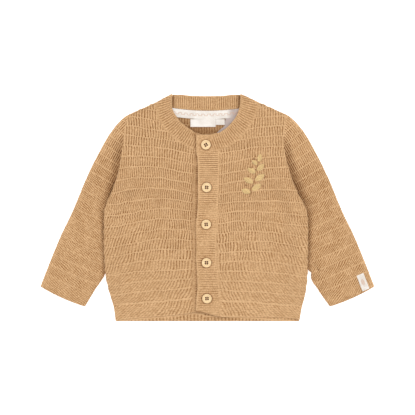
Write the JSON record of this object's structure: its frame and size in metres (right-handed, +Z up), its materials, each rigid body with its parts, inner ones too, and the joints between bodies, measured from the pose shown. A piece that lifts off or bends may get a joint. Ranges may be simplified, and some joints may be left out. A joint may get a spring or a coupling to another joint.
{
  "type": "baby button-front knitted cardigan",
  "caption": "Round-neck long-sleeved baby cardigan in ribbed knit, buttoned down the front and laid flat, with a ribbed neckband, a woven neck tape and bare labels.",
  "frame": {"origin": "on the surface that the cardigan lies on, under the middle of its bounding box", "axes": "+X across the garment towards the wearer's left, +Y from the hem to the neck, +Z up from the surface, through the fronts"},
  "size_m": [0.4344, 0.2954, 0.0116],
  "materials": {
    "knit": "camel cotton rib knit, matt and slightly heathered",
    "button": "pale turned wood, satin",
    "thread": "brown sewing thread",
    "tape": "white woven cotton tape, matt"
  },
  "bodies": {
    "root": {"back": "knit", "front_right": "knit", "front_left": "knit", "sleeve_right": "knit", "sleeve_left": "knit", "neckband": "knit", "button_band": "knit", "buttonhole_band": "knit", "button_1": "button", "button_2": "button", "button_3": "button", "button_4": "button", "button_5": "button", "button_thread_1": "thread", "button_thread_2": "thread", "button_thread_3": "thread", "button_thread_4": "thread", "button_thread_5": "thread", "neck_tape": "tape", "neck_tape_end": "tape", "neck_label": "tape", "size_label": "tape", "cuff_label": "tape"}
  },
  "joints": []
}
